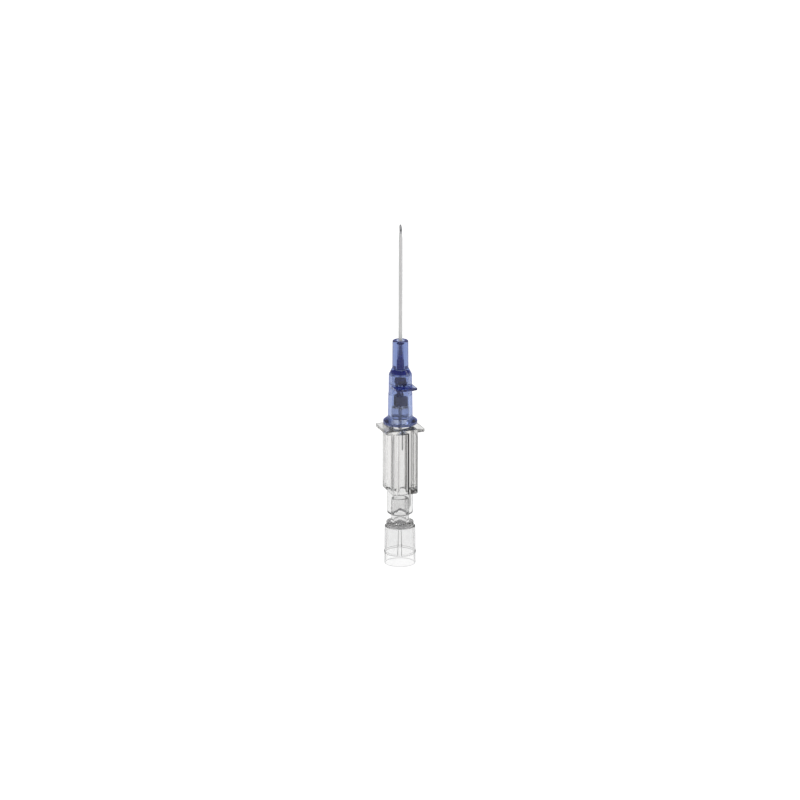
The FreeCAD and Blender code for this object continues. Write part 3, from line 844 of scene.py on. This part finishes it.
def outlined(finish, colour, start, strength, edges=0.6, bores=(0.0, 0.0), veil=0.0):
    """Mixes in a matt colour where the plastic turns away from the eye, from start on.

    Marked edges and the veil have a share of their own; the outline, the marked edges and the
    band in a bore are painted shade. Pressed joints have no air between them and show no line.
    In the wall of a bore light is thrown back from about 41 degrees on, so the dark band is
    wider there; bores holds its share at the left and at the right, so that the band is painted
    darker towards the studio's right.
    """
    facing = finish.node("ShaderNodeLayerWeight", inputs={"Blend": 0.5}, output="Facing")
    bore = finish.mark("bore")
    outline = finish.ramp(facing, start, 1.0)
    outline = outline * outline * strength * (1 - finish.mark("pressed")) * (1 - bore)
    # painted shade: the band in a bore is darker towards the studio's right
    painted_side_ramp = finish.ramp(finish.along(STUDIO_RIGHT), -SIDEWAYS, SIDEWAYS, *bores)
    band = finish.ramp(facing, *BORE_TURNS_DARK) * painted_side_ramp * bore
    share = outline + band + finish.mark("edge") * edges + veil
    plain = Signal(finish, finish.shader.outputs["BSDF"])
    matt = finish.node("ShaderNodeBsdfDiffuse", inputs={"Color": (*colour, 1)})
    mixed = finish.node("ShaderNodeMixShader", inputs={0: share, 1: plain, 2: matt})
    finish.feed(finish.output, {"Surface": mixed})


def dye(finish, colour, density):
    """Light that has gone a way d is dimmed to exp(-d * density * (1 - colour))."""
    finish.feed(finish.output, {"Volume": finish.node("ShaderNodeVolumeAbsorption", inputs={
        "Color": (*colour, 1), "Density": density})})


# %% The clear hub's finish
clear = moulded("clear hub plastic", (.93, .93, .93), 1.53, 900, 0.02, 0.005, 150)
outlined(clear, (.04, .04, .04), 0.52, 0.95, edges=0.2, bores=(0.0, 0.95),
         veil=clear.by_height(17.4, 18.0, 0.05, 0.03))
dye(clear, (.97, .969, .967), 1000)
print(clear.material.name, "has", len(clear.tree.nodes), "nodes")

# %% The plug's finish
plug = moulded("plug plastic", (.97, .97, .97), 1.50, 1200, 0.04, 0.01, 150)
outlined(plug, (.06, .06, .06), 0.48, 0.95, edges=0.2, bores=(0.0, 0.5),
         veil=plug.by_height(2.6, 2.9, 0.02, 0.065) - plug.by_height(11.5, 12.0, 0, 0.05))
dye(plug, (.96, .959, .958), 1000)
print(plug.material.name, "has", len(plug.tree.nodes), "nodes")

# %% [markdown]
# ### Blue plastic
#
# The colour sits in the plastic and not on it: thin walls are pale and the solid rim and neck
# are deep. A base colour alone would tint every wall alike, so most of the colour is a dye, an
# absorption that grows with the way the light goes. The outline and the marked cone are painted
# shade in a deep blue, the cone dark enough to hide the eyelet, and the veil is stronger over
# the clip's room.

# %% The blue hub's finish
blue = moulded("blue hub plastic", (.66, .72, .87), 1.50, 900, 0.05, 0.03, 200, specular=0.2)
# edges is the share of the painted dark cone
outlined(blue, (.015, .03, .30), 0.38, 0.85, edges=0.98,
         veil=blue.by_height(41.0, 41.4, 0.05, 0.12))
dye(blue, (.41, .52, .77), 530)
print(blue.material.name, "has", len(blue.tree.nodes), "nodes")

# %% [markdown]
# ### Soft tube, filter and steel
#
# The catheter's plastic is milky: part of the light goes through it and part comes back. The
# filter is pressed from grains, so it is matt and pitted. The needle is drawn, which leaves
# fine lines along it. The strip of the clip is rolled and dark. It could be one grey all over,
# but its colour carries painted light for the light that reaches it through the blue hub: its
# broad rear half is painted paler than its heads, and most so towards the right.

# %% The catheter's finish
milky = Finish("catheter plastic", {"Base Color": (.80, .80, .80, 1), "IOR": 1.42,
                                    "Transmission Weight": 0.35, "Roughness": 0.2})
milky.bump(milky.noise(3000), 0.001 * MILLIMETRE)
outlined(milky, (.12, .12, .12), 0.55, 0.6)
print(milky.material.name, "has", len(milky.tree.nodes), "nodes")

# %% The filter's finish
pressed = Finish("pressed filter", {"Roughness": 0.9, "Specular IOR Level": 0.3})
grains = pressed.noise(7000, detail=6)
pressed.feed(pressed.shader, {
    "Base Color": pressed.colours(grains, (0.3, (.84, .84, .85)), (0.7, (.94, .94, .95)))})
pressed.bump(grains, 0.01 * MILLIMETRE)
print(pressed.material.name, "has", len(pressed.tree.nodes), "nodes")

# %% The needle's finish
drawn = Finish("drawn steel", {"Metallic": 1.0})
lines = drawn.noise(16000, (1, 1, 0.02), detail=3)
drawn.feed(drawn.shader, {
    "Roughness": lines * 0.15 + 0.16,
    "Base Color": drawn.colours(lines, (0.2, (.30, .30, .31)), (0.8, (.44, .44, .45)))})
drawn.bump(lines, 0.002 * MILLIMETRE)
print(drawn.material.name, "has", len(drawn.tree.nodes), "nodes")

# %% The clip's finish
SHANK = 1.07 * MILLIMETRE, 1.18 * MILLIMETRE    # the broad shanks lie this far out in y
rolled = Finish("rolled strip", {"Metallic": 1.0})
lines = rolled.noise(9000, (0.05, 1, 1), detail=3)
# painted light: the shanks' broad rear half is paler, most so towards the right, and the heads
# stay dark
on_shank = rolled.ramp(abs(rolled.along((0, 1, 0))), *SHANK)
painted_side_ramp = rolled.ramp(rolled.along((1, 0, 0)), -SIDEWAYS, SIDEWAYS, 0.3, 1.0)
lines_and_painted_light = lines * 0.3 + on_shank * painted_side_ramp * rolled.by_height(42.0, 42.4, 0.9, 0.0)
rolled.feed(rolled.shader, {
    "Roughness": lines * 0.15 + 0.3,
    "Base Color": rolled.colours(lines_and_painted_light, (0.1, (.006, .006, .012)), (0.9, (.07, .07, .09)))})
rolled.bump(lines, 0.003 * MILLIMETRE)
print(rolled.material.name, "has", len(rolled.tree.nodes), "nodes")

# %% Each piece gets its finish
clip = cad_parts["safety_clip"]
clip.data.materials.clear()
for piece, finish in ((clear_hub, clear), (flash_plug, plug), (blue_hub, blue),
                      (catheter, milky), (vent_filter, pressed), (needle, drawn),
                      (eyelet, rolled), (clip, rolled)):
    piece.data.materials.append(finish.material)
print("finishes:", ", ".join(material.name for material in bpy.data.materials))

# %% [markdown]
# ## The studio
#
# The object stands on a wide pale floor that fills the picture. A picture of a real room could
# light it, but a few plain lights are easier to judge. A large soft light hangs above, and a
# weaker one stands at the right. The floor glows a little by itself, so it is evenly white and
# nearly free of shadow. The room is greyer than the floor, and its dim reflections darken the
# edges of the clear pieces a little; the finishes paint the rest of their dark lines as shade.

# %% The floor
FLOOR_HALF = 4.0    # in metres
corners = [(x * FLOOR_HALF, y * FLOOR_HALF, 0) for x, y in ((-1, -1), (1, -1), (1, 1), (-1, 1))]
floor_mesh = bpy.data.meshes.new("floor")
floor_mesh.from_pydata(corners, [], [(0, 1, 2, 3)])
floor = bpy.data.objects.new("floor", floor_mesh)
bpy.context.scene.collection.objects.link(floor)
pale = Finish("pale floor", {"Base Color": (.15, .15, .15, 1), "Roughness": 0.9,
                             "Emission Color": (1, 1, 1, 1), "Emission Strength": 0.95})
floor.data.materials.append(pale.material)
print("the floor is", 2 * FLOOR_HALF, "m wide")


# %% Lights
def softbox(name, place, aim, size, watts):
    """A square area light at a place, turned to face a point."""
    light = bpy.data.lights.new(name, "AREA")
    light.shape, light.size, light.energy = "SQUARE", size, watts
    lamp = bpy.data.objects.new(name, light)
    bpy.context.scene.collection.objects.link(lamp)
    lamp.location = place
    towards = Vector(aim) - Vector(place)
    lamp.rotation_euler = towards.to_track_quat("-Z", "Y").to_euler()
    print(f"{name}: {watts} W, {towards.length:.2f} m away")


softbox("soft light above", (0.0, 0.1, 1.5), (0, 0, 0), 1.6, 16)
softbox("soft light at the right", (0.9, -0.5, 0.5), (0, 0, 0.04), 0.5, 1.5)
world = bpy.data.worlds.new("studio")
bpy.context.scene.world = world
world.use_nodes = True
room = world.node_tree.nodes["Background"]
room.inputs["Color"].default_value = (1, 1, 1, 1)
room.inputs["Strength"].default_value = 0.60
bpy.context.scene.view_settings.view_transform = "Standard"
# light turns many corners inside clear plastic, and would end black at the usual limits
paths = bpy.context.scene.cycles
paths.max_bounces, paths.glossy_bounces, paths.transmission_bounces = 32, 24, 32

# %% [markdown]
# ## The camera
#
# The photograph was taken from a little above and a little to the left of the tab's side, with
# a long lens and the camera a trace out of level. A camera could be placed by eye, but its view
# is then hard to change by one step. So its place is worked out from two angles, a distance and
# the point that it looks at.

# %% Camera
DISTANCE = 1.2                      # in metres
LENS_PER_METRE = 194.85             # keeps the object's size in the picture at any distance
AZIMUTH, ELEVATION, ROLL = (math.radians(a) for a in (-20, 17, 0.13))
AIM_HEIGHT, AIM_LEFT = 39.54 * MILLIMETRE, 0.067 * MILLIMETRE
level = math.cos(ELEVATION)
back = Vector((math.sin(AZIMUTH) * level, -math.cos(AZIMUTH) * level, math.sin(ELEVATION)))
rightwards = Vector((math.cos(AZIMUTH), math.sin(AZIMUTH), 0))
camera = bpy.data.objects.new("camera", bpy.data.cameras.new("camera"))
bpy.context.scene.collection.objects.link(camera)
camera.data.sensor_width = 36
camera.data.lens = LENS_PER_METRE * DISTANCE
camera.location = Vector((0, 0, AIM_HEIGHT)) - rightwards * AIM_LEFT + back * DISTANCE
facing = (-back).to_track_quat("-Z", "Y") @ Quaternion((0, 0, 1), ROLL)
camera.rotation_euler = facing.to_euler()
bpy.context.scene.camera = camera
print("the lens is", round(camera.data.lens, 1), "mm long")
